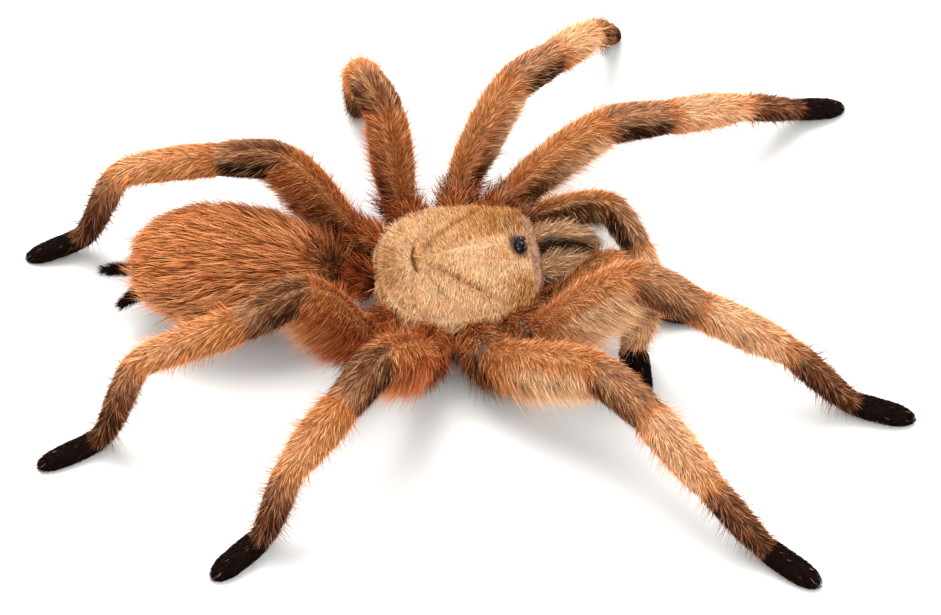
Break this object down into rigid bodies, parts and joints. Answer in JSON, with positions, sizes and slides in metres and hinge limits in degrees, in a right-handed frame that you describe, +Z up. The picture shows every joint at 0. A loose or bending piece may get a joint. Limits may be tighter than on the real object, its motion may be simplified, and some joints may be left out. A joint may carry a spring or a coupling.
{
  "type": "tarantula",
  "caption": "Standing tarantula with an orange hairy coat, a golden carapace, grey-brown knees and black feet, for display on a level surface.",
  "frame": {"origin": "centre of the base of the box round the whole animal, at the level of the foot pads", "axes": "+X towards the animal's head, +Y towards its left, +Z up"},
  "size_m": [0.1006, 0.0826, 0.0203],
  "materials": {
    "femur_coat": "dense orange hair, matt",
    "patella_coat": "dense grey-brown hair, matt",
    "tibia_coat": "dense light orange hair, matt",
    "metatarsus_coat": "dense brown hair, matt",
    "foot_coat": "short black-brown hair, matt",
    "carapace_pile": "very short golden velvety pile, matt",
    "abdomen_coat": "long rusty orange hair over dark brown, matt",
    "underside_coat": "short dark brown hair, matt",
    "jaw_coat": "short grey-tan hair, matt",
    "pedicel_skin": "bare dark skin, satin",
    "fang_and_claw": "hard dark horn, glossy",
    "eyes": "black cornea, wet gloss",
    "spinneret_coat": "short black hair, matt"
  },
  "bodies": {
    "root": {"abdomen": "abdomen_coat", "carapace": "carapace_pile", "chelicera_left": "jaw_coat", "chelicera_right": "jaw_coat", "eyes": "eyes", "fang_left": "fang_and_claw", "fang_right": "fang_and_claw", "leg_left_1_femur": "femur_coat", "leg_left_1_metatarsus": "metatarsus_coat", "leg_left_1_patella": "patella_coat", "leg_left_1_tarsus": "foot_coat", "leg_left_1_tibia": "tibia_coat", "leg_left_2_femur": "femur_coat", "leg_left_2_metatarsus": "metatarsus_coat", "leg_left_2_patella": "patella_coat", "leg_left_2_tarsus": "foot_coat", "leg_left_2_tibia": "tibia_coat", "leg_left_3_femur": "femur_coat", "leg_left_3_metatarsus": "metatarsus_coat", "leg_left_3_patella": "patella_coat", "leg_left_3_tarsus": "foot_coat", "leg_left_3_tibia": "tibia_coat", "leg_left_4_femur": "femur_coat", "leg_left_4_metatarsus": "metatarsus_coat", "leg_left_4_patella": "patella_coat", "leg_left_4_tarsus": "foot_coat", "leg_left_4_tibia": "tibia_coat", "leg_right_1_femur": "femur_coat", "leg_right_1_metatarsus": "metatarsus_coat", "leg_right_1_patella": "patella_coat", "leg_right_1_tarsus": "foot_coat", "leg_right_1_tibia": "tibia_coat", "leg_right_2_femur": "femur_coat", "leg_right_2_metatarsus": "metatarsus_coat", "leg_right_2_patella": "patella_coat", "leg_right_2_tarsus": "foot_coat", "leg_right_2_tibia": "tibia_coat", "leg_right_3_femur": "femur_coat", "leg_right_3_metatarsus": "metatarsus_coat", "leg_right_3_patella": "patella_coat", "leg_right_3_tarsus": "foot_coat", "leg_right_3_tibia": "tibia_coat", "leg_right_4_femur": "femur_coat", "leg_right_4_metatarsus": "metatarsus_coat", "leg_right_4_patella": "patella_coat", "leg_right_4_tarsus": "foot_coat", "leg_right_4_tibia": "tibia_coat", "palp_left_femur": "femur_coat", "palp_left_patella": "patella_coat", "palp_left_tarsus": "foot_coat", "palp_left_tibia": "tibia_coat", "palp_right_femur": "femur_coat", "palp_right_patella": "patella_coat", "palp_right_tarsus": "foot_coat", "palp_right_tibia": "tibia_coat", "pedicel": "pedicel_skin", "spinneret_left": "spinneret_coat", "spinneret_right": "spinneret_coat", "underside": "underside_coat"}
  },
  "joints": []
}
